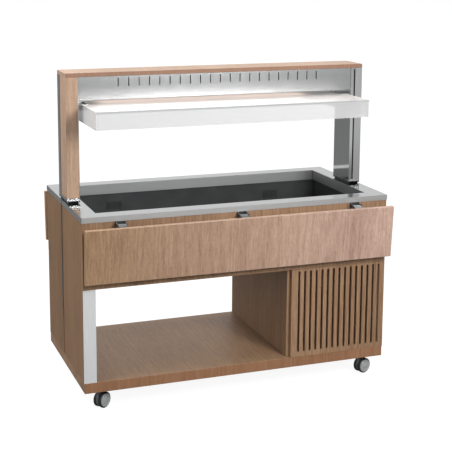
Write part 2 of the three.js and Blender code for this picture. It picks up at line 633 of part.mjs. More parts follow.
// The crowned diffuser set in the mouth of the housing, on whose edges it hangs by a rim.
function lampDiffuser() {
  const half = LAMP_WIDTH / 2 - LAMP_SHEET - SEAT;
  const outline = new THREE.Shape();
  outline.moveTo(half, LAMP_EDGE + DIFFUSER_RIM);
  outline.lineTo(-half, LAMP_EDGE + DIFFUSER_RIM);
  outline.lineTo(-half, LAMP_EDGE);
  outline.quadraticCurveTo(0, LAMP_EDGE - 2 * LAMP_CROWN, half, LAMP_EDGE);
  const [left, right] = [LAMP_LEFT + LAMP_SHEET + SEAT, LAMP_RIGHT - LAMP_SHEET - SEAT];
  return extrude(outline, "x", left, right, { curveSegments: 8 });
}

piece("roof_board", roofBoard(), OAK());
for (const [face, side] of Object.entries(FACES)) {
  const hung = new THREE.Group();
  hung.rotation.z = side < 0 ? 0 : Math.PI;
  salad_bar.add(hung);
  piece(`fascia_${face}`, fascia(), STEEL(), hung);
}
piece("lamp_housing", lampHousing(), LAMP_WHITE());
piece("lamp_diffuser", lampDiffuser(), LAMP());

// ---- Clear guard ----

// Half of the guard's outline on one side, from its lower edge to the middle of the top.
function guardProfile(shape, half, top, radius, reversed) {
  const foot = GUARD_TOP - GUARD_HEIGHT;
  const arcs = [
    [-half + radius, Math.PI, Math.PI / 2],
    [half - radius, Math.PI / 2, 0],
  ];
  if (reversed) {
    shape.lineTo(half, foot);
    arcs.reverse().forEach(([y, from, to]) => shape.absarc(y, top - radius, radius, to, from, false));
    shape.lineTo(-half, foot);
  } else {
    shape.moveTo(-half, foot);
    shape.lineTo(-half, top - radius);
    arcs.forEach(([y, from, to]) => shape.absarc(y, top - radius, radius, from, to, true));
    shape.lineTo(half, foot);
  }
  return shape;
}

// The sheet bent down along the front and the rear.
function guardSheet() {
  const x = GUARD_X - GUARD_SHEET - SEAT;
  const shape = guardProfile(new THREE.Shape(), GUARD_Y, GUARD_TOP, GUARD_BEND, false);
  const inner = [GUARD_Y - GUARD_SHEET, GUARD_TOP - GUARD_SHEET, GUARD_BEND - GUARD_SHEET];
  guardProfile(shape, ...inner, true);
  return extrude(shape, "x", -x, x, { curveSegments: 3 });
}

// The pane that closes one end of the bent sheet.
function guardEnd(end) {
  const shape = guardProfile(new THREE.Shape(), GUARD_Y, GUARD_TOP, GUARD_BEND, false);
  const [x0, x1] = span(end, GUARD_X - GUARD_SHEET, GUARD_X);
  return extrude(shape, "x", x0, x1, { curveSegments: 3 });
}

// The angle that hangs the guard from an upright.
function guardBracket() {
  const x = -UPRIGHT_INNER + SEAT;
  const z = GUARD_TOP + SEAT;
  const outline = [[z, x + GUARD_ARM], [z, x], [z + GUARD_BRACKET_HEIGHT, x]];
  const angle = folded(outline, BRACKET_SHEET);
  return extrude(angle, "y", -GUARD_BRACKET_LENGTH / 2, GUARD_BRACKET_LENGTH / 2);
}

piece("guard_sheet", guardSheet(), CLEAR());
for (const [end, side] of Object.entries(ENDS)) {
  piece(`guard_end_${end}`, guardEnd(side), CLEAR());
  const hung = new THREE.Group();
  hung.rotation.z = side < 0 ? 0 : Math.PI;
  salad_bar.add(hung);
  piece(`guard_bracket_${end}`, guardBracket(), STEEL(), hung);
}

// ---- Folding trays ----
// The tray and its arms are drawn about the hinge axis, hanging straight down on the front side: x runs
// along the hinge, y is measured inwards from it and z upwards.

function trayBoard() {
  const half = LENGTH / 2;
  const low = [-half, -TRAY_OUT - TRAY_THICKNESS, TRAY_ABOVE - TRAY_WIDTH];
  return board(low, [half, -TRAY_OUT, TRAY_ABOVE], "y");
}

// A pressed arm: a channel along the tray's inner face, with a bored knuckle at the hinge and a heel that
// meets the apron when the tray hangs.
function trayArm() {
  const back = -TRAY_OUT + SEAT;
  const half = ARM_WIDTH / 2;
  const lean = degrees(TRAY_LEAN);
  const heel = (HINGE_OUT - SEAT) / Math.cos(lean) - ARM_LENGTH * Math.tan(lean);
  const side = new THREE.Shape();
  side.moveTo(back, 0);
  side.lineTo(back, -ARM_LENGTH);
  side.lineTo(heel, -ARM_LENGTH);
  side.lineTo(heel, -ARM_LENGTH + HEEL_HEIGHT);
  side.lineTo(back + ARM_DEPTH, -ARM_LENGTH + 2 * HEEL_HEIGHT);
  side.lineTo(back + ARM_DEPTH, -2 * KNUCKLE_RADIUS);
  side.lineTo(KNUCKLE_RADIUS, -KNUCKLE_RADIUS / 2);
  side.absarc(0, 0, KNUCKLE_RADIUS, 0, Math.PI / 2);
  side.lineTo(back, KNUCKLE_RADIUS / 2);
  const blank = extrude(side, "x", -half, half, { curveSegments: 4 });
  const hollow = block(
    [-half + ARM_WALL, back + ARM_WALL, -2 * ARM_LENGTH],
    [half - ARM_WALL, 2 * KNUCKLE_RADIUS, -KNUCKLE_RADIUS],
  );
  const bore = rod(bored(HINGE_PIN), "x", -BRACKET_WIDTH, BRACKET_WIDTH);
  return cut(blank, hollow, bore);
}

// The fixed bracket on the apron: a screwed plate, two side plates and the riveted hinge pin.
function trayBracket() {
  const half = BRACKET_WIDTH / 2;
  const wall = HINGE_OUT - SEAT;
  const top = HINGE_DROP - RIM_HEIGHT - 2 * SEAT;
  const plate = block([-half, wall - BRACKET_SHEET, -BRACKET_DROP], [half, wall, top]);
  const side = new THREE.Shape();
  side.moveTo(wall, top);
  side.lineTo(0, CHEEK_RADIUS);
  side.absarc(0, 0, CHEEK_RADIUS, Math.PI / 2, 1.5 * Math.PI);
  side.lineTo(wall, -BRACKET_DROP / 2);
  const cheeks = Object.values(ENDS).map((end) =>
    extrude(side, "x", ...span(end, half - CHEEK, half), { curveSegments: 4 }),
  );
  return join(plate, ...cheeks, rod(HINGE_PIN, "x", -half + CHEEK / 2, half - CHEEK / 2));
}

const HINGES = { left: -HINGE_PITCH, middle: 0, right: HINGE_PITCH };
for (const [face, side] of Object.entries(FACES)) {
  const turned = new THREE.Group();
  turned.rotation.z = side < 0 ? 0 : Math.PI;
  salad_bar.add(turned);
  const hinge = new THREE.Group();
  hinge.position.set(0, -HINGE_Y, HINGE_Z);
  turned.add(hinge);
  const leaning = new THREE.Group();
  leaning.rotation.x = degrees(TRAY_LEAN);
  hinge.add(leaning);
  piece(`tray_${face}`, trayBoard(), OAK(), leaning);
  for (const [place, x] of Object.entries(HINGES)) {
    piece(`tray_arm_${face}_${place}`, trayArm(), STEEL(), leaning).position.x = -side * x;
    piece(`tray_bracket_${face}_${place}`, trayBracket(), DARK_STEEL(), hinge).position.x = -side * x;
  }
}

// ---- Castors ----
// Each castor is drawn about its swivel axis, with its axle along -Y and its wheels trailing towards +X.

function castorPlate() {
  const top = CASTOR_HEIGHT - SEAT;
  const outline = roundedRectangle(PLATE_SIDE / 2, PLATE_SIDE / 2, PLATE_CORNER);
  const plate = extrude(outline, "z", top - PLATE_THICKNESS, top);
  const pivot = rod(PIVOT_RADIUS, "z", HEAD_TOP - PIVOT_DEPTH + SEAT, top - PLATE_THICKNESS / 2);
  return join(plate, pivot);
}

// The fork: a round head, and one web between the wheels that widens to a guard round the axle.
function castorFork() {
  const half = FORK_WIDTH / 2;
  const head = rod(HEAD_RADIUS, "z", HEAD_TOP - HEAD_HEIGHT, HEAD_TOP, { sides: ROUND });
  const web = new THREE.Shape();
  web.moveTo(HEAD_TOP - HEAD_HEIGHT / 2, -HEAD_RADIUS * 0.8);
  web.lineTo(AXLE_Z, TRAIL - FORK_GUARD_RADIUS);
  web.absarc(AXLE_Z, TRAIL, FORK_GUARD_RADIUS, -Math.PI / 2, -1.5 * Math.PI, true);
  web.lineTo(HEAD_TOP - HEAD_HEIGHT / 2, HEAD_RADIUS * 0.8);
  const body = extrude(web, "y", -half, half, { curveSegments: 6 });
  const pivot = rod(bored(PIVOT_RADIUS), "z", HEAD_TOP - PIVOT_DEPTH, HEAD_TOP + SEAT);
  const axle = rod(bored(AXLE_RADIUS), "y", -FORK_WIDTH, FORK_WIDTH, { a: AXLE_Z, b: TRAIL });
  return cut(join(head, body), pivot, axle);
}

// Two wheels on one axle: round-shouldered tyres, and a disc set in each outer face.
function castorWheels() {
  const [inner, outer] = [(WHEEL_SPACING - WHEEL_WIDTH) / 2, (WHEEL_SPACING + WHEEL_WIDTH) / 2];
  const groove = outer - DISC_RECESS;
  const profile = [
    [AXLE_RADIUS, inner],
    [WHEEL_RADIUS - TREAD_ROUND, inner],
    [WHEEL_RADIUS, inner + TREAD_ROUND],
    [WHEEL_RADIUS, outer - TREAD_ROUND],
    [WHEEL_RADIUS - TREAD_ROUND, outer - DISC_RECESS / 2],
    [DISC_RADIUS + DISC_RECESS, groove],
    [DISC_RADIUS, groove],
    [DISC_RADIUS - DISC_RECESS, outer],
    [0, outer + DISC_RECESS],
  ];
  const other = profile.map(([r, y]) => [r, -y]).reverse();
  const points = [...other, ...profile].map(([r, y]) => new THREE.Vector2(r, y));
  return new THREE.LatheGeometry(points, ROUND, Math.PI / ROUND);
}

for (const [face, sideY] of Object.entries(FACES)) {
  for (const [end, sideX] of Object.entries(ENDS)) {
    const place = `${face}_${end}`;
    const castor = new THREE.Group();
    castor.position.x = sideX * (FACE_X - BASE_INSET - CASTOR_INSET_X);
    castor.position.y = sideY * (FACE_Y - BASE_INSET - CASTOR_INSET_Y);
    castor.rotation.z = degrees(CASTOR_TURNS[place]);
    salad_bar.add(castor);
    const plate = piece(`castor_plate_${place}`, castorPlate(), DARK_STEEL(), castor);
    plate.rotation.z = -castor.rotation.z;
    piece(`castor_fork_${place}`, castorFork(), FORK_GREY(), castor);
    piece(`castor_wheels_${place}`, castorWheels(), RUBBER(), castor).position.set(TRAIL, 0, AXLE_Z);
  }
}

// ---- Refrigeration ----

// A hermetic compressor: a domed can on a skid, with its terminal box and two pipe stubs.
function compressor() {
  const [radius, height] = [COMPRESSOR_RADIUS, COMPRESSOR_HEIGHT];
  const foot = ON_BASE + 4 * SKID_THICKNESS;
  const bowl = [[0, 0], [0.7, 0.02], [0.93, 0.1], [1, 0.2], [1, 0.52]];
  const seam = [[1.04, 0.54], [1.04, 0.58], [1, 0.6]];
  const dome = [[1, 0.7], [0.94, 0.84], [0.75, 0.94], [0.4, 0.99], [0, 1]];
  const points = [...bowl, ...seam, ...dome].map(([r, z]) => new THREE.Vector2(r * radius, z * height));
  const can = new THREE.LatheGeometry(points, ROUND).rotateX(Math.PI / 2).translate(0, 0, foot);
  const [reach, footY] = [radius * 1.25, radius * 0.8];
  const skidShape = roundedRectangle(reach, radius, radius / 6);
  const skid = extrude(skidShape, "z", foot - SKID_THICKNESS, foot + SKID_THICKNESS);
  const feet = [-1, 1].flatMap((a) =>
    [-1, 1].map((b) => rod(radius / 8, "z", ON_BASE, foot, { a: a * radius * 1.05, b: b * footY })),
  );
  const box = block([footY, -radius / 3, foot + height / 4], [reach, radius / 3, foot + height / 2]);
  const stubs = [-1, 1].map((side) =>
    rod(SHAFT_RADIUS, "z", foot, foot + height, { a: (side * radius) / 2, b: SHAFT_RADIUS / 2 - radius }),
  );
  return join(can, skid, ...feet, box, ...stubs).translate(CUPBOARD_X, COMPRESSOR_Y, 0);
}

// The condenser: a finned coil in a frame, a round duct behind it and the fan motor on three stays.
function condenser() {
  const [half, frame] = [COIL_WIDTH / 2, COIL_FRAME];
  const [low, high] = [COIL_FOOT, COIL_FOOT + COIL_HEIGHT];
  const outline = rectangle(low, high, -half, half);
  outline.holes.push(rectangle(low + frame, high - frame, -half + frame, half - frame));
  const hoop = extrude(outline, "y", COIL_Y, COIL_BACK);
  const fins = centred(FIN_COUNT, COIL_WIDTH / (FIN_COUNT + 1)).map((x) => {
    const [x0, x1] = [x - FIN_THICKNESS / 2, x + FIN_THICKNESS / 2];
    return block([x0, COIL_Y + frame, low + frame / 2], [x1, COIL_BACK - frame, high - frame / 2]);
  });
  const shroudShape = rectangle(low, high, -half, half);
  shroudShape.holes.push(circle(DUCT_RADIUS, FAN_Z, 0));
  const shroud = extrude(shroudShape, "y", COIL_BACK - SEAT, COIL_BACK + DUCT_WALL, { curveSegments: 12 });
  const ductShape = circle(DUCT_RADIUS + DUCT_WALL, FAN_Z, 0);
  ductShape.holes.push(circle(DUCT_RADIUS, FAN_Z, 0));
  const ductBack = COIL_BACK + DUCT_DEPTH;
  const duct = extrude(ductShape, "y", COIL_BACK, ductBack + STAY_THICKNESS, { curveSegments: 12 });
  const legs = [-1, 1].map((a) => {
    const [x0, x1] = span(a, half - frame, half);
    return block([x0, COIL_Y, ON_BASE], [x1, COIL_BACK, low + frame / 2]);
  });
  const motor = rod(MOTOR_RADIUS, "y", MOTOR_Y, MOTOR_Y + MOTOR_LENGTH, { a: FAN_Z, sides: ROUND });
  const shaft = rod(SHAFT_RADIUS, "y", FAN_Y - FAN_HUB_LENGTH / 2, MOTOR_Y + SEAT, { a: FAN_Z });
  const stays = [0, 1, 2].map((i) => {
    const bar = block([0, 0, -STAY_WIDTH / 2], [DUCT_RADIUS + DUCT_WALL / 2, STAY_THICKNESS, STAY_WIDTH / 2]);
    return bar.rotateY((i * 2 * Math.PI) / 3 + Math.PI / 2).translate(0, ductBack, FAN_Z);
  });
  const whole = join(hoop, ...fins, shroud, duct, ...legs, motor, shaft);
  return join(whole, ...stays).translate(CUPBOARD_X, 0, 0);
}

// The fan: pitched blades round a hub with the motor's shaft through it.
function fan() {
  const half = FAN_HUB_LENGTH / 2;
  const hub = rod(FAN_HUB_RADIUS, "y", -half, half, { sides: ROUND });
  const blades = Array.from({ length: BLADE_COUNT }, (_, i) => {
    const outline = new THREE.Shape();
    outline.moveTo(-BLADE_CHORD / 4, FAN_HUB_RADIUS / 2);
    outline.lineTo(-BLADE_CHORD / 2, FAN_RADIUS * 0.8);
    outline.quadraticCurveTo(-BLADE_CHORD / 2, FAN_RADIUS * 0.94, 0, FAN_RADIUS * 0.96);
    outline.quadraticCurveTo(BLADE_CHORD / 2, FAN_RADIUS * 0.94, BLADE_CHORD / 2, FAN_RADIUS * 0.7);
    outline.lineTo(BLADE_CHORD / 4, FAN_HUB_RADIUS / 2);
    const blade = extrude(outline, "z", -BLADE_THICKNESS / 2, BLADE_THICKNESS / 2, { curveSegments: 3 });
    blade.rotateX(Math.PI / 2).rotateZ(degrees(BLADE_PITCH));
    return blade.rotateY((i * 2 * Math.PI) / BLADE_COUNT);
  });
  const bore = rod(bored(SHAFT_RADIUS), "y", -FAN_HUB_LENGTH, FAN_HUB_LENGTH);
  return cut(join(hub, ...blades), bore);
}

piece("compressor", compressor(), COMPRESSOR_BLACK());
piece("condenser", condenser(), DARK_STEEL());
piece("fan_rotor", fan(), RUBBER()).position.set(CUPBOARD_X, FAN_Y, FAN_Z);

export default salad_bar;
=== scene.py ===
# %% [markdown]
# # A mobile salad bar
# A salad bar of this kind is a chilled counter on castors: an oak carcass with a steel worktop and a black
# well, a lit guard under a roof, and a folding tray along each side. Its solids could be modelled again in
# Blender, but a CAD model already holds them, measured and hinged, so they are loaded as they are. This
# lesson gives them their finishes, models the small parts that they leave out, and sets up the camera and
# the studio. Lengths are in metres.

# %% Load the solids
import json
import math

import bpy
from mathutils import Matrix, Vector

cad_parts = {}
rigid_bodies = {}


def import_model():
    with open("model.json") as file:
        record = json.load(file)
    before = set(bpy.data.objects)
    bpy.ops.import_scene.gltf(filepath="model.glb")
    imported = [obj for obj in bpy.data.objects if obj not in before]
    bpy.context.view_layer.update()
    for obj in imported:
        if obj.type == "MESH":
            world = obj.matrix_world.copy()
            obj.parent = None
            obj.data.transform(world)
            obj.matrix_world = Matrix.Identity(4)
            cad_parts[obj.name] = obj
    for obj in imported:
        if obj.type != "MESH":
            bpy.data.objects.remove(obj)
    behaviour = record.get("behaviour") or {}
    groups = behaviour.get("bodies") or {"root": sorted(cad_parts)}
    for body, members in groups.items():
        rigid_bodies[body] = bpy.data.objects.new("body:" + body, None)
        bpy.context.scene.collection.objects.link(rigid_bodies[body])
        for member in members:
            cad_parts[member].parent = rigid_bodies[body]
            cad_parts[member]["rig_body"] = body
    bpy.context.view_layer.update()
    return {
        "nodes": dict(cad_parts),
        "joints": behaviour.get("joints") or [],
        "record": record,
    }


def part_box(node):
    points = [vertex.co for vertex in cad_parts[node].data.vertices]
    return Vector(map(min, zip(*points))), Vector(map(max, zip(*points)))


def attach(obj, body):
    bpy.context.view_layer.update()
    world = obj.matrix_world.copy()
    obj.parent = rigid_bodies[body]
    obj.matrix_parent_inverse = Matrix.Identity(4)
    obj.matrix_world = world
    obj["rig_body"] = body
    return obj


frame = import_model()
nodes = frame["nodes"]

# %% [markdown]
# ## Camera
# The photograph was taken from a little above the bar and to its left, with a lens of about 90 mm, and the
# frame was cut from a larger picture. A camera could be aimed by eye. This one was fitted to some forty
# points and edges of the photograph, so its place and its turns are odd numbers. The cut is a small shift
# of the lens, which needs less tilt than aiming at the bar would, so the uprights stay nearly parallel.

# %% Camera
PICTURE_SIDE = 452  # pixels
SENSOR = 36.0  # millimetres
FOCAL_LENGTH = 1107.8  # pixels
LENS_AXIS = (211.6, 141.9)  # pixel on the lens's own axis
CAMERA_PLACE = (-1.8185, -4.9843, 2.0484)


def aimed(yaw, pitch, roll):
    """A camera's turn, from degrees of yaw from +Y to +X, of pitch downwards and of roll."""
    yaw, pitch, roll = map(math.radians, (yaw, pitch, roll))
    forward = Vector((math.sin(yaw) * math.cos(pitch), math.cos(yaw) * math.cos(pitch), -math.sin(pitch)))
    turn = forward.to_track_quat("-Z", "Y").to_euler()
    turn.rotate_axis("Z", roll)
    return turn


camera = bpy.data.objects.new("camera", bpy.data.cameras.new("camera"))
bpy.context.scene.collection.objects.link(camera)
camera.data.sensor_width = SENSOR
camera.data.lens = FOCAL_LENGTH / PICTURE_SIDE * SENSOR
camera.data.shift_x = (PICTURE_SIDE / 2 - LENS_AXIS[0]) / PICTURE_SIDE
camera.data.shift_y = (LENS_AXIS[1] - PICTURE_SIDE / 2) / PICTURE_SIDE
camera.data.clip_end = 100
camera.location = CAMERA_PLACE
camera.rotation_euler = aimed(yaw=19.911, pitch=9.641, roll=0.238)
bpy.context.scene.camera = camera
print("lens", round(camera.data.lens, 1), "mm")

# %% [markdown]
# ## Shader sums
# A finish is a formula over a surface, such as how dark a pore is at each point. It could be wired by hand
# in the shader editor, where a long sum becomes a web of Math nodes that is hard to follow. Here one small
# class stands for a socket and takes the usual operators. Each operator adds its own Math node, so that a
# finish reads as the formula it is.


# %% Shader sums
class Socket:
    """A value in a node tree. Arithmetic on it adds Math nodes."""

    def __init__(self, tree, link):
        self.tree = tree
        self.link = link

    def math(self, operation, *values):
        return self.tree.node("ShaderNodeMath", {"operation": operation}, dict(enumerate(values)))

    def __add__(self, other):
        return self.math("ADD", self, other)

    def __sub__(self, other):
        return self.math("SUBTRACT", self, other)

    def __mul__(self, other):
        return self.math("MULTIPLY", self, other)

    def __truediv__(self, other):
        return self.math("DIVIDE", self, other)

    def __rsub__(self, other):
        return self.math("SUBTRACT", other, self)

    def __rtruediv__(self, other):
        return self.math("DIVIDE", other, self)

    def __abs__(self):
        return self.math("ABSOLUTE", self)

    __radd__ = __add__
    __rmul__ = __mul__

    def clamped(self):
        return self.math("MINIMUM", self.math("MAXIMUM", self, 0.0), 1.0)

    def above(self, edge, softness):
        """Goes from 0 to 1 as the value passes the edge, over a width of softness."""
        return ((self - edge) / softness + 0.5).clamped()

    def wave(self):
        """A smooth wave between 0 and 1."""
        return self.math("SINE", self) * 0.5 + 0.5


print("a socket takes + - * / and abs()")

# %% [markdown]
# ## Node trees
# Noise, coordinates and shaders are nodes as well. Each could be added by its own few lines, which would
# hide the finish among calls. One method adds any of them instead, from its type, its settings and what
# goes into its sockets. Materials and the world are both node trees, so they share it.


# %% Node trees
class Tree:
    """A node tree, of a material or of the world."""

    def __init__(self, tree):
        self.tree = tree

    def node(self, kind, settings=None, inputs=None, output=0):
        """Adds a node. Its settings come first, because they can change its sockets."""
        made = self.tree.nodes.new(kind)
        for key, value in (settings or {}).items():
            setattr(made, key, value)
        for key, value in (inputs or {}).items():
            self.feed(made.inputs[key], value)
        return Socket(self, made.outputs[output])

    def feed(self, socket, value):
        if isinstance(value, Socket):
            self.tree.links.new(value.link, socket)
        else:
            socket.default_value = value

    def axes(self, kind, output):
        """The three parts of a coordinate."""
        vector = self.node(kind, output=output)
        return [self.node("ShaderNodeSeparateXYZ", None, {0: vector}, output=axis) for axis in "XYZ"]

    def ray(self, kind):
        """1 on rays of one kind, and 0 on the others."""
        return self.node("ShaderNodeLightPath", output=f"Is {kind} Ray")

    def looked_at(self):
        """1 on what the camera sees, also through the guard, and 0 on what is mirrored or lights the bar."""
        camera_ray = self.ray("Camera")
        return camera_ray.math("MAXIMUM", camera_ray, self.ray("Transmission"))


print("a tree makes any node")

# %% [markdown]
# ## Materials
# Each finish of the bar starts as one Principled shader with patterns on it. The patterns could be
# pictures, but those have seams and a fixed sharpness. Noise that is worked out from the place on the
# solid, in metres, has neither. It can be stretched along a grain, and keeps its true size on every board.


# %% Materials
class Finish(Tree):
    """A material with one Principled shader."""

    def __init__(self, name, **inputs):
        self.material = bpy.data.materials.new(name)
        self.material.use_nodes = True
        super().__init__(self.material.node_tree)
        self.shader = self.tree.nodes["Principled BSDF"]
        self.shade(**inputs)

    def shade(self, **inputs):
        """Sets the shader's sockets. Base_Color stands for Base Color."""
        for key, value in inputs.items():
            self.feed(self.shader.inputs[key.replace("_", " ")], value)

    def stretched(self, x=1.0, y=1.0, z=1.0, away=0.0):
        """The place on the solid in metres times three factors, and moved away from the origin."""
        place = self.node("ShaderNodeTexCoord", output="Object")
        inputs = {"Vector": place, "Scale": (x, y, z), "Location": (away, away, away)}
        return self.node("ShaderNodeMapping", {"vector_type": "POINT"}, inputs)

    def noise(self, vector, scale, detail, roughness):
        inputs = {"Vector": vector, "Scale": scale, "Detail": detail, "Roughness": roughness}
        return self.node("ShaderNodeTexNoise", None, inputs)

    def mix(self, factor, a, b):
        """Goes from colour a to colour b as the factor goes from 0 to 1."""
        return self.node("ShaderNodeMix", {"data_type": "RGBA"}, {0: factor, 6: a, 7: b}, output=2)

    def bump(self, height, distance, strength=1.0):
        inputs = {"Height": height, "Distance": distance, "Strength": strength}
        self.shade(Normal=self.node("ShaderNodeBump", None, inputs))


def colour(code):
    """A colour written as six hexadecimal digits, on the straight scale that the shader wants."""
    parts = [int(code[i : i + 2], 16) / 255 for i in (0, 2, 4)]
    return (*[p / 12.92 if p <= 0.04045 else ((p + 0.055) / 1.055) ** 2.4 for p in parts], 1.0)


print("mid grey on the straight scale:", round(colour("808080")[0], 3))

# %% [markdown]
# ## Oak laminate
# The boards carry a printed oak with its grain upright, also on the long boards, where a joiner would have
# laid it lengthwise. A wave texture could draw its rings, but its bands come back at even steps. Here the
# rings are the contour lines of a soft noise that is drawn out along the grain, so they never repeat.
# Over them lie broad changes of tone, fine streaks and short dark pores. The shelf and the roof lie flat,
# so their grain runs from front to back, and their long edges are redder.

# %% Oak laminate
GRAIN = 0.05  # the pattern's change along the grain, as a share of that across it
RING_DENSITY = 110.0  # how close the contour lines lie
RING_CONTRAST = 0.16
TONE_CONTRAST = 0.8
FINE_CONTRAST = 0.6
BODY_MIDDLE = 1.24  # sum of the patterns where the two tones meet
PORE_SHADE = "5e4632"
PORE_STRENGTH = 0.45


def oak(name, light, dark, away=0.0, level=False, rings=0.5, edges=("74492e", "9c7152"), painted_sheen_right=None):
    """Oak between a light and a dark tone. A level board has its grain along Y, and the tones of edges on
    its long edges. Any other board has it upright. Rings is how strongly the growth rings show. Where tones
    for its right end are given, it grows lighter and pinker rightwards: a painted sheen of the key lamp."""
    wood = Finish(name, Specular_IOR_Level=0.4)
    along = {"y": GRAIN, "z": GRAIN} if level else {"z": GRAIN}
    grain = wood.stretched(**along, away=away)
    tone = wood.noise(grain, scale=3.5, detail=2.0, roughness=0.45)
    contours = wood.noise(grain, scale=5.0, detail=1.5, roughness=0.4)
    growth = (contours * RING_DENSITY).wave()
    streaks = wood.noise(grain, scale=120.0, detail=4.0, roughness=0.62)
    fine = wood.noise(grain, scale=330.0, detail=3.0, roughness=0.6)
    pores = wood.noise(grain, scale=620.0, detail=2.0, roughness=0.5).above(0.62, softness=0.1)
    tones = [colour(dark), colour(light)]
    # Towards the right end the tones shift lighter and pinker: a painted sheen of the key lamp on the right.
    if painted_sheen_right:
        painted_sheen_rightwards = wood.axes("ShaderNodeTexCoord", "Object")[0].above(0.0, softness=1.5)
        tones = [wood.mix(painted_sheen_rightwards, left, colour(right)) for left, right in zip(tones, painted_sheen_right)]
    body = tone * TONE_CONTRAST + growth * (RING_CONTRAST * rings) + streaks + fine * FINE_CONTRAST
    shade = wood.mix(body.above(BODY_MIDDLE, softness=0.8), *tones)
    shade = wood.mix(pores * PORE_STRENGTH, shade, colour(PORE_SHADE))
    if level:
        on_edge = abs(wood.axes("ShaderNodeTexCoord", "Normal")[1]).above(0.5, softness=0.4)
        shade = wood.mix(on_edge * 0.75, shade, wood.mix(streaks, *map(colour, edges)))
    wood.shade(Base_Color=shade, Roughness=0.4 + streaks * 0.16)
    wood.bump(fine - pores * 0.8, distance=0.00012, strength=0.4)
    return wood.material


OAK_UPRIGHT = oak("oak_upright", light="b99c84", dark="8c6c54", rings=0.6)
# The trays' oak grows lighter and pinker to the right: a painted sheen of the key lamp on the right.
OAK_TRAY = oak("oak_tray", light="a9896a", dark="7b5c42", away=3.0, rings=1.0, painted_sheen_right=("93766a", "c9aa9a"))
OAK_PANEL = oak("oak_panel", light="aa896b", dark="70523a", away=7.0, rings=0.6)
OAK_END = oak("oak_end", light="9c7a58", dark="61432a", away=11.0, rings=0.6)
OAK_BASE = oak("oak_base", light="ae8d6e", dark="795b44", away=5.0, level=True, rings=0.4)
OAK_ROOF = oak("oak_roof", light="b59a86", dark="92765f", away=9.0, level=True, edges=("6e4834", "8e6850"))
print("oaks have", [len(finish.node_tree.nodes) for finish in (OAK_UPRIGHT, OAK_TRAY, OAK_BASE)], "nodes")

# %% [markdown]
# ## Steel
# Brushed stainless steel is a mirror with thousands of fine scratches in one direction. The shader's own
# anisotropy could smear its reflections, but it needs a direction on every face. Fine noise that is drawn
# out along the scratches does without one: as a bump it tips the surface across them, so reflections smear
# that way only. The masts are near-black low down, a painted shade where the post shows in each end's open
# joint.

# %% Steel
SCRATCH = 0.012  # the scratches' change along their length, as a share of that across them
SCRATCH_SHADE = "9c9e9e"
SCRATCH_SHARE = 0.4
# Near-black painted shade on the masts low down, for the shade in the open joint of each end.
PAINTED_JOINT_SHADE = "1c1d1e"
MAST_PAINTED_SHADE_TOP = 0.922  # floor to the top of the masts' dark part


def steel(name, along, shade="c4c5c5", roughness=0.26, depth=0.00016, sides=0.0, coat=-1.0, metal=1.0):
    """Steel brushed along one axis. Sides is the extra roughness of its upright faces. Below the height
    given as coat it is painted near-black, as painted shade. Metal is 1 on bare steel, and less where a
    satin finish hides its mirror."""
    sheet = Finish(name, Metallic=metal)
    brushed = sheet.stretched(**{along: SCRATCH})
    fine = sheet.noise(brushed, scale=800.0, detail=2.0, roughness=0.6)
    broad = sheet.noise(brushed, scale=9.0, detail=2.0, roughness=0.5)
    scratches = fine.above(0.5, softness=0.7) * SCRATCH_SHARE
    tone = sheet.mix(scratches, colour(shade), colour(SCRATCH_SHADE))
    height = sheet.axes("ShaderNodeTexCoord", "Object")[2]
    upright = 1.0 - abs(sheet.axes("ShaderNodeTexCoord", "Normal")[2])
    # Below the coat height the steel is painted near-black: painted shade of the open joint.
    sheet.shade(Base_Color=sheet.mix(height.above(coat, softness=0.002), colour(PAINTED_JOINT_SHADE), tone))
    sheet.shade(Roughness=roughness + (broad - 0.5) * 0.1 + upright * sides)
    sheet.bump(fine, distance=depth)
    return sheet.material


STEEL_X = steel("steel_brushed_x", "x")
STEEL_TOP = steel("steel_worktop", "x", roughness=0.16, sides=0.26)
STEEL_MAST = steel("steel_mast", "z", shade="eeefef", roughness=0.2, depth=0.00002, coat=MAST_PAINTED_SHADE_TOP)
STEEL_Z = steel("steel_brushed_z", "z", depth=0.0001)
STEEL_POLISHED = steel("steel_polished", "z", shade="f2f3f3", roughness=0.08, depth=0.00001)
STEEL_DULL = steel("steel_dull", "z", shade="8e9090", roughness=0.4, depth=0.00002)
STEEL_SATIN = steel("steel_satin", "z", shade="e6e7e8", roughness=0.5, depth=0.00004, metal=0.35)
print("a steel has", len(STEEL_X.node_tree.nodes), "nodes")

# %% [markdown]
# ## Paints, plastics and rubber
# The well, the castors and the machinery are painted steel, moulded plastic and rubber. A single flat
# colour would make them look new and cut out of paper. So each has a fine skin, as sprayed paint and
# moulded plastic have, and a little wear in broad patches that makes it paler and duller in places.

# %% Paints
WORN_SHADE = "808080"
WORN_SHARE = 0.12


def coated(name, shade, roughness, skin=900.0, depth=0.00003):
    """Paint or plastic. Skin is the scale of its fine unevenness."""
    coat = Finish(name)
    peel = coat.noise(coat.stretched(), scale=skin, detail=2.0, roughness=0.5)
    wear = coat.noise(coat.stretched(), scale=14.0, detail=3.0, roughness=0.6)
    coat.shade(Base_Color=coat.mix(wear * WORN_SHARE, colour(shade), colour(WORN_SHADE)))
    coat.shade(Roughness=roughness + (wear - 0.5) * 0.15)
    coat.bump(peel, distance=depth, strength=0.6)
    return coat.material


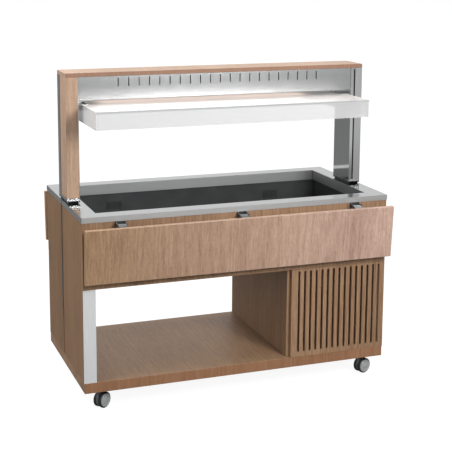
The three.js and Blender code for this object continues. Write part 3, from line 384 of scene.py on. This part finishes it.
DARK_COAT = coated("dark_coat", "151617", roughness=0.42)
TANK_BLACK = coated("tank_black", "303132", roughness=0.35)
FOAM = coated("foam_casing", "a9aaa8", roughness=0.8, skin=300.0, depth=0.0002)
RUBBER = coated("tyre_rubber", "101010", roughness=0.62)
CASTOR_GREY = coated("castor_grey", "63676a", roughness=0.4)
HUB_GREY = coated("hub_grey", "9b9c9d", roughness=0.35)
COMPRESSOR = coated("compressor_paint", "0c0d0e", roughness=0.3)
FAN_PLASTIC = coated("fan_plastic", "18191a", roughness=0.5)
# The lamp housing's paint is a mid grey rather than white: painted shade for the dark inside of the hood.
LAMP_PAINT_AND_SHADE = coated("lamp_paint_and_shade", "6e6e6e", roughness=0.5)
print(len(bpy.data.materials), "finishes so far")

# %% [markdown]
# ## Clear guard
# The guard is clear acrylic over the food, a bent sheet with a pane at each end. A glass shader could make
# it, but thin walls of glass take many rays and come out grainy. Here a see-through shader is mixed with a
# mirror that grows at flat angles, on the outer side only. A milky veil lies over both, a painted glow of
# the sheet lit from above, pinker on upward faces as painted warm lamp light. It is denser on cut edges and
# the underside, as painted light that acrylic gathers there, and along the bends it is grey, a painted line
# of shade.

# %% Clear guard
ACRYLIC_INDEX = 1.49
ACRYLIC_GLOSS = 0.04  # roughness of its mirror
VEIL = 0.5
EDGE_VEIL = 0.6  # more of it, where the veil is dense


def dense_on_pane(x, z, bend):
    """Dense on a pane's cut edges, as painted light that the edges gather."""
    return 1.0 - abs(x)


def dense_on_sheet(x, z, bend):
    """Dense on the sheet's underside as painted gathered light, along the bends as a painted grey shade
    line, and less so on its top, which carries the painted lamp tint.
    """
    return (0.0 - z).above(0.6, softness=0.2) + bend * 0.9 + z.above(0.9, softness=0.1) * 0.4


def acrylic(name, dense):
    """Clear acrylic. Dense is a function that tells from the way a face looks how dense its veil is."""
    clear = Finish(name, Roughness=0.35, Specular_IOR_Level=0.2)
    x, y, z = clear.axes("ShaderNodeTexCoord", "Normal")
    bend = abs(y * z) * 2.0
    # Upward faces get a pinker milk, a painted tint of the lamp's warm light, and bends a grey one, a
    # painted line of shade.
    milk_and_lamp_tint = clear.mix(z.above(0.9, softness=0.1), colour("d6d6d6"), colour("d6d1ce"))
    clear.shade(Base_Color=clear.mix(bend, milk_and_lamp_tint, colour("8c8e8e")))
    see_through = clear.node("ShaderNodeBsdfTransparent")
    mirror = clear.node("ShaderNodeBsdfGlossy", None, {"Roughness": ACRYLIC_GLOSS})
    flat_angle = clear.node("ShaderNodeFresnel", None, {"IOR": ACRYLIC_INDEX})
    outer = 1.0 - clear.node("ShaderNodeNewGeometry", output="Backfacing")
    thin = clear.node("ShaderNodeMixShader", None, {0: flat_angle * outer, 1: see_through, 2: mirror})
    veil = (VEIL + dense(x, z, bend) * EDGE_VEIL).clamped()
    skin = Socket(clear, clear.shader.outputs[0])
    both = clear.node("ShaderNodeMixShader", None, {0: veil, 1: thin, 2: skin})
    clear.feed(clear.tree.nodes["Material Output"].inputs["Surface"], both)
    return clear.material


CLEAR_SHEET = acrylic("clear_sheet", dense_on_sheet)
CLEAR_END = acrylic("clear_end", dense_on_pane)
print("the guard has", len(CLEAR_SHEET.node_tree.nodes), "nodes")

# %% [markdown]
# ## Lamp
# Under the roof a long diffuser lights the food. A lamp object could stand in for it, but then the
# diffuser itself would stay dark where the guard mirrors it. So its own face glows, a little unevenly, as
# a row of small lights behind frosted plastic does.

# %% Lamp
GLOW_STRENGTH = 1.5

diffuser = Finish("lamp_glow", Base_Color=colour("efe9e4"), Roughness=0.5, Emission_Strength=GLOW_STRENGTH)
lights = diffuser.noise(diffuser.stretched(), scale=40.0, detail=1.0, roughness=0.5)
diffuser.shade(Emission_Color=diffuser.mix(lights, colour("ffe0cc"), colour("fff2ea")))
GLOW = diffuser.material
print(len(bpy.data.materials), "finishes in all")

# %% [markdown]
# ## Dress the solids
# The CAD model says what each solid is made of. That could be the whole list of finishes, but steel is
# brushed along one part and across another, and each board has its own piece of oak. So a solid takes the
# finish that its name calls for, and otherwise the one of its material.

# %% Dress the solids
OF_NAME = {  # by the start of a solid's name
    "base_board": OAK_BASE,
    "roof_board": OAK_ROOF,
    "tray_front": OAK_TRAY,
    "tray_rear": OAK_TRAY,
    "tray_arm": STEEL_DULL,
    "upright_wood": OAK_UPRIGHT,
    "upright_liner": STEEL_POLISHED,
    "end_panel": OAK_END,
    "worktop": STEEL_TOP,
    "mast": STEEL_MAST,
    "fascia": STEEL_X,
    "side_liner": STEEL_SATIN,
    "guard_sheet": CLEAR_SHEET,
}
OF_MATERIAL = {
    "laminated_board": OAK_PANEL,
    "stainless_steel": STEEL_Z,
    "dark_steel": DARK_COAT,
    "black_tank": TANK_BLACK,
    "foam_casing": FOAM,
    "lamp_diffuser": GLOW,
    "lamp_white": LAMP_PAINT_AND_SHADE,
    "clear_guard": CLEAR_END,
    "castor_grey": CASTOR_GREY,
    "castor_tyre": RUBBER,
    "compressor_black": COMPRESSOR,
    "condenser_metal": DARK_COAT,
    "fan_plastic": FAN_PLASTIC,
}


def dress(piece, material):
    piece.data.materials.clear()
    piece.data.materials.append(material)


for part in frame["record"]["subparts"]:
    named = [finish for start_of_name, finish in OF_NAME.items() if part["node"].startswith(start_of_name)]
    dress(nodes[part["node"]], named[0] if named else OF_MATERIAL[part["material_slot"]])

# %% [markdown]
# ## Shape a small part
# The small parts are turned, pressed or folded, and all of them have steps and edges that catch the light.
# Each could be typed in as a list of points. Working as by hand is shorter and easier to change: start
# from a primitive, choose faces by their place and the way they look, and inset, lift or sink them.


# %% Shape a small part
def start(kind, **size):
    """Adds a primitive and opens it for editing by faces."""
    bpy.ops.object.select_all(action="DESELECT")
    getattr(bpy.ops.mesh, f"primitive_{kind}_add")(**size)
    bpy.ops.object.mode_set(mode="EDIT")
    bpy.ops.mesh.select_mode(type="FACE")
    return bpy.context.object


def choose(piece, test):
    """Selects only the faces whose middle and normal pass a test."""
    bpy.ops.mesh.select_all(action="DESELECT")
    bpy.ops.object.mode_set(mode="OBJECT")
    for face in piece.data.polygons:
        face.select = test(face.center, face.normal)
    bpy.ops.object.mode_set(mode="EDIT")


def looks_up(at, normal):
    return normal.z > 0.9


def step(*sizes):
    """Insets the chosen faces as one region and moves them along Z, once for each pair of inset and rise."""
    for inset, rise in sizes:
        bpy.ops.mesh.inset(thickness=inset)
        bpy.ops.transform.translate(value=(0, 0, rise))


SMOOTH_BELOW = 30  # degrees between two faces


def close(piece, material):
    """Ends editing. Faces that meet at a small angle are shaded as one."""
    bpy.ops.object.mode_set(mode="OBJECT")
    bpy.ops.object.transform_apply()
    bpy.ops.object.shade_smooth_by_angle(angle=math.radians(SMOOTH_BELOW))
    dress(piece, material)


print("ready to shape")

# %% [markdown]
# ## Put it in place
# Discs, screws and louvres come in numbers. Each could be modelled where it sits, but then every change is
# made many times. So a part is modelled once at the origin, with its outer side up, and copied to its
# places. Each copy has its own mesh and rides on the body that carries it, so it moves when that body does.


# %% Put it in place
def put(model, name, body, place):
    """Adds a copy of a model on a body. Place is the matrix from the model to the bar."""
    copy = bpy.data.objects.new(name, model.data.copy())
    bpy.context.scene.collection.objects.link(copy)
    copy.data.transform(place)
    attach(copy, body)


def facing(direction, at):
    """The matrix that turns +Z to a direction and moves the origin to a place."""
    return Matrix.Translation(at) @ Vector(direction).to_track_quat("Z", "Y").to_matrix().to_4x4()


ENDS = {"left": -1, "right": 1}
FACES = {"front": -1, "rear": 1}
BAR = nodes["worktop"]["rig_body"]
print("the worktop and all that is fixed to it ride on", BAR)

# %% [markdown]
# ## Castor discs
# The grey disc on a castor wheel is a plastic moulding with a chamfered rim, a ring groove, five shallow
# pockets and a round cap. Its round steps could be spun from a profile, and the pockets would still have
# to be cut. Insets from one flat face give the steps, and leave a ring of faces for the pockets.

# %% Castor discs
DISC_RADIUS = 0.031
DISC_FOOT = 0.0219  # wheelset's middle to the disc's lower face
DISC_SIDES = 60
DISC_THICKNESS = 0.002
DISC_RIM = [(0.001, 0.0007), (0.0035, 0)]
DISC_GROOVE = [(0.0006, -0.0005), (0.0013, 0), (0.0006, 0.0005)]
DISC_CAP = [(0.0112, 0), (0.0012, 0.0009), (0.003, 0.0004), (0.006, 0.0002)]
POCKETS = 5
POCKET_FACES = 8  # of the twelve faces to each pocket
POCKET_RING = (0.015, 0.021)  # radii on either side of the pockets' middles
POCKET = (0.0012, -0.0006)

disc = start(
    "cylinder",
    vertices=DISC_SIDES,
    radius=DISC_RADIUS,
    depth=DISC_THICKNESS,
    location=(0, 0, DISC_FOOT + DISC_THICKNESS / 2),
)
choose(disc, looks_up)
step(*DISC_RIM, *DISC_GROOVE, *DISC_CAP)


def in_pocket(at, normal):
    turn = math.degrees(math.atan2(at.y, at.x)) % (360 / POCKETS)
    in_ring = POCKET_RING[0] < at.xy.length < POCKET_RING[1]
    return looks_up(at, normal) and in_ring and turn < POCKET_FACES * 360 / DISC_SIDES


def middle(node):
    low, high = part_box(node)
    return (low + high) / 2


choose(disc, in_pocket)
step(POCKET)
close(disc, HUB_GREY)
rolls = [joint for joint in frame["joints"] if joint["name"].startswith("castor_roll_")]
for joint in rolls:
    corner = joint["name"].removeprefix("castor_roll_")
    for face, side in {"inner": -1, "outer": 1}.items():
        turned = facing(Vector(joint["axis"]) * side, middle(f"castor_wheels_{corner}"))
        put(disc, f"castor_disc_{corner}_{face}", joint["child"], turned)
print(2 * len(rolls), "discs of", len(disc.data.polygons), "faces")
bpy.data.objects.remove(disc)

# %% [markdown]
# ## Screws
# Button heads with a socket hold the guard to its brackets, and the tray brackets to the aprons. A whole
# screw could be modelled, but only the head shows. It is a short cylinder that narrows in two steps, and
# its middle is sunk for the socket.

# %% Screws
HEAD_RADIUS = 0.0045
HEAD_HEIGHT = 0.0016
HEAD_SIDES = 24
HEAD_CROWN = [(0.0008, 0.0005), (0.001, 0.0003)]
HEAD_SOCKET = [(0.0006, 0), (0.00005, -0.0015)]
GUARD_SCREW_X = 0.652
GUARD_SCREW_Y = (0.055, 0.018)  # on the right, and turned half a circle on the left
GUARD_SCREW_RISE = 0.0033  # guard's upper face to the upper face of its bracket
TRAY_SCREW_X = (-0.011, 0.011)  # from the middle of a tray bracket
TRAY_SCREW_Z = 0.012  # above the bracket's lower edge
TRAY_SCREW_SEAT = 0.0023  # from the bracket's back, a little inside its plate

screw = start(
    "cylinder",
    vertices=HEAD_SIDES,
    radius=HEAD_RADIUS,
    depth=HEAD_HEIGHT,
    location=(0, 0, HEAD_HEIGHT / 2),
)
choose(screw, looks_up)
step(*HEAD_CROWN, *HEAD_SOCKET)
close(screw, DARK_COAT)
for end, side in ENDS.items():
    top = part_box("guard_sheet")[1].z + GUARD_SCREW_RISE
    for number, y in enumerate(GUARD_SCREW_Y):
        at = (side * GUARD_SCREW_X, side * y, top)
        put(screw, f"guard_screw_{end}_{number}", BAR, facing((0, 0, 1), at))
for face, side in FACES.items():
    for name in ("left", "middle", "right"):
        low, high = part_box(f"tray_bracket_{face}_{name}")
        back = high.y if side < 0 else low.y
        for number, x in enumerate(TRAY_SCREW_X):
            at = ((low.x + high.x) / 2 + x, back + side * TRAY_SCREW_SEAT, low.z + TRAY_SCREW_Z)
            put(screw, f"bracket_screw_{face}_{name}_{number}", BAR, facing((0, side, 0), at))
print("screws of", len(screw.data.polygons), "faces")
bpy.data.objects.remove(screw)

# %% [markdown]
# ## Joint trims
# A folded steel strip covers the edge of one board beside the open joint of each end. It could be painted
# on the board by a mask, but a strip has thickness and a pressed line, and both catch the light. It stops
# where the post behind the joint stops, and the joint is open below.

# %% Joint trims
TRIM_WIDTH = 0.012
TRIM_THICKNESS = 0.001
TRIM_FOOT = 0.356  # floor to its lower end
TRIM_EDGE = [(0.0008, 0.0003)]
TRIM_LINE = [(0.0025, 0), (0.0005, -0.0003)]

board_low, board_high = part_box("end_panel_left_rear")
trim = start("cube", size=1)
bpy.ops.transform.resize(value=(TRIM_WIDTH, board_high.z - TRIM_FOOT, TRIM_THICKNESS))
choose(trim, looks_up)
step(*TRIM_EDGE, *TRIM_LINE)
close(trim, STEEL_DULL)
for end, side in ENDS.items():
    out = TRIM_THICKNESS / 2 - board_low.x
    across = board_low.y + TRIM_WIDTH / 2
    at = (side * out, -side * across, (board_high.z + TRIM_FOOT) / 2)
    put(trim, f"joint_trim_{end}", BAR, facing((side, 0, 0), at))
print("trims", round(board_high.z - TRIM_FOOT, 3), "long")
bpy.data.objects.remove(trim)

# %% [markdown]
# ## Louvres
# Cold air enters the well through vents in its long walls, behind louvred plates. Slats could be made one
# by one. A pressed plate is simpler: a grid with a row of faces for each strip gets a thickness, and every
# second row is raised.

# %% Louvres
LOUVRE_LENGTH = 0.080
LOUVRE_HEIGHT = 0.040
LOUVRE_THICKNESS = 0.0012
LOUVRE_STRIPS = 11
LOUVRE_SLAT = (0.0005, 0.001)
TANK_WALL = 0.002
TANK_FLOOR = 0.690  # floor of the room to that of the tank
VENT_INSET = 0.250  # tank's ends to the vents
VENT_RISE = 0.108  # tank's floor to the vents

louvre = start("grid", x_subdivisions=1, y_subdivisions=LOUVRE_STRIPS, size=1)
bpy.ops.transform.resize(value=(LOUVRE_LENGTH, LOUVRE_HEIGHT, 1))
bpy.ops.mesh.select_all(action="SELECT")
bpy.ops.mesh.extrude_region_move(TRANSFORM_OT_translate={"value": (0, 0, LOUVRE_THICKNESS)})


def is_raised(at, normal):
    row = int((at.y / LOUVRE_HEIGHT + 0.5) * LOUVRE_STRIPS)
    return looks_up(at, normal) and at.z > LOUVRE_THICKNESS / 2 and row % 2 == 1


choose(louvre, is_raised)
step(LOUVRE_SLAT)
close(louvre, DARK_COAT)
tank_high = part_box("well_tank")[1]
vent = tank_high.x - TANK_WALL - VENT_INSET
for end, hand in ENDS.items():
    for face, side in FACES.items():
        at = (hand * vent, side * (tank_high.y - TANK_WALL), TANK_FLOOR + VENT_RISE)
        put(louvre, f"louvre_{face}_{end}", BAR, facing((0, -side, 0), at))
print("louvres of", len(louvre.data.polygons), "faces")
bpy.data.objects.remove(louvre)

# %% [markdown]
# ## Strainer
# A pressed strainer covers the drain in the well's floor. Its holes could be cut right through, which at
# this size only adds edges that nobody sees. They are sunk instead: the disc gets a rim and a dish, and
# groups of faces between the rings go down.

# %% Strainer
STRAINER_RADIUS = 0.026
STRAINER_THICKNESS = 0.0015
STRAINER_SIDES = 48
STRAINER_RIM = [(0.001, 0.0006), (0.004, 0)]
STRAINER_DISH = [(0.001, -0.0008), (0.006, 0), (0.006, 0), (0.005, 0.0008)]
HOLE_RING = (0.005, 0.019)  # radii within which the holes lie
HOLE = (0.0008, -0.0007)
DRAIN_INSET = 0.155  # tank's right end to the drain

strainer = start(
    "cylinder",
    vertices=STRAINER_SIDES,
    radius=STRAINER_RADIUS,
    depth=STRAINER_THICKNESS,
    location=(0, 0, STRAINER_THICKNESS / 2),
)
choose(strainer, looks_up)
step(*STRAINER_RIM, *STRAINER_DISH)


def is_hole(at, normal):
    """Two faces in four, round each ring."""
    sector = int(math.degrees(math.atan2(at.y, at.x)) % 360 / (360 / STRAINER_SIDES))
    return looks_up(at, normal) and HOLE_RING[0] < at.xy.length < HOLE_RING[1] and sector % 4 < 2


choose(strainer, is_hole)
step(HOLE)
close(strainer, STEEL_DULL)
drain = (tank_high.x - TANK_WALL - DRAIN_INSET, 0, TANK_FLOOR)
put(strainer, "drain_strainer", BAR, Matrix.Translation(drain))
print("a strainer of", len(strainer.data.polygons), "faces at", [round(value, 3) for value in drain])
bpy.data.objects.remove(strainer)

# %% [markdown]
# ## Floor
# A product picture is taken on seamless white paper. A white floor could be lit until it is white, but the
# lamps would then burn out the bar. So the paper is grey to the light that falls on it, and glows for the
# camera. Steel mirrors much less of that glow, except for a pale band some way in front of the bar.

# %% Floor
FLOOR_SIDE = 60
FLOOR_DROP = 0.0005  # floor below the tyres
FLOOR_SEEN = 0.92  # its brightness to the camera
FLOOR_MIRRORED = 0.05  # its brightness in mirrors
BAND_MIRRORED = 0.42  # and how much brighter the pale band is
BAND_NEAR = 5.2  # from the bar's middle to the band
BAND_FAR = 10.5  # to where the band fades

bpy.ops.mesh.primitive_plane_add(size=FLOOR_SIDE, location=(0, 0, -FLOOR_DROP))
floor = bpy.context.object
floor.name = "floor"
paper = Finish("floor_paper", Base_Color=colour("686868"), Roughness=0.9, Emission_Color=(1, 1, 1, 1))
in_front = 0.0 - paper.axes("ShaderNodeTexCoord", "Object")[1]
band = in_front.above(BAND_NEAR, softness=1.6) - in_front.above(BAND_FAR, softness=6.0) * 0.5
in_mirrors = paper.ray("Glossy") * (band * BAND_MIRRORED + FLOOR_MIRRORED)
paper.shade(Emission_Strength=paper.looked_at() * FLOOR_SEEN + in_mirrors)
dress(floor, paper.material)
print("floor", FLOOR_SIDE, "m square")

# %% [markdown]
# ## White world
# Behind the bar hangs the same white paper. A plain white world could stand for it, but steel would then
# mirror white from every side and look like plastic. The world is white only where the camera sees it. In
# mirrors it is darker in front, where a studio is dark, and brighter behind and above. As a light it is
# soft, and stronger from the left.

# %% White world
MIRRORED_IN_FRONT = 0.22
MIRRORED_BEHIND = 0.6  # how much brighter it is there
MIRRORED_ABOVE = 0.8
MIRRORED_RIGHT = -0.1
LIGHT = 0.36
LIGHT_LEFT = 0.8

world = bpy.data.worlds.new("studio")
bpy.context.scene.world = world
world.use_nodes = True
sky = Tree(world.node_tree)
right, back, up = sky.axes("ShaderNodeTexCoord", "Generated")
mirrored = back.above(0.1, softness=1.0) * MIRRORED_BEHIND + up.above(0.45, softness=0.5) * MIRRORED_ABOVE
mirrored = MIRRORED_IN_FRONT + mirrored + right.above(0.5, softness=0.4) * MIRRORED_RIGHT
light = LIGHT + (0.0 - right).above(0.4, softness=0.6) * LIGHT_LEFT
seen = sky.looked_at()
glossy = sky.ray("Glossy")
unseen = glossy * mirrored + (1.0 - glossy) * light
background = world.node_tree.nodes["Background"]
sky.feed(background.inputs["Color"], (1, 1, 1, 1))
sky.feed(background.inputs["Strength"], seen + (1.0 - seen) * unseen)
print("the world has", len(world.node_tree.nodes), "nodes")

# %% [markdown]
# ## Lamps
# The photograph has soft shadows and pale upper faces, so its lamps were large. Small lamps would give as
# much light, but with sharp shadows. These are wide discs: a key lamp in front on the right, a larger one
# overhead, and a weak one on the left that steel doesn't mirror, as it would glare there.


# %% Lamps
def soft_lamp(name, place, target, size, power, mirrored=True):
    """Adds a round lamp that looks at a target."""
    lamp = bpy.data.objects.new(name, bpy.data.lights.new(name, "AREA"))
    bpy.context.scene.collection.objects.link(lamp)
    lamp.data.shape = "DISK"
    lamp.data.size = size
    lamp.data.energy = power
    lamp.visible_glossy = mirrored
    lamp.location = place
    lamp.rotation_euler = (Vector(target) - Vector(place)).to_track_quat("-Z", "Y").to_euler()


soft_lamp("key", place=(1.15, -3.7, 2.6), target=(0, 0, 0.8), size=1.6, power=150)
soft_lamp("top", place=(-0.4, 0.3, 4.4), target=(0, 0, 0.9), size=2.6, power=74)
soft_lamp("left", place=(-2.1, -0.5, 2.6), target=(-0.75, 0, 0.8), size=0.8, power=26, mirrored=False)
bpy.context.scene.view_settings.view_transform = "Standard"
print(len(bpy.data.lights), "lamps")
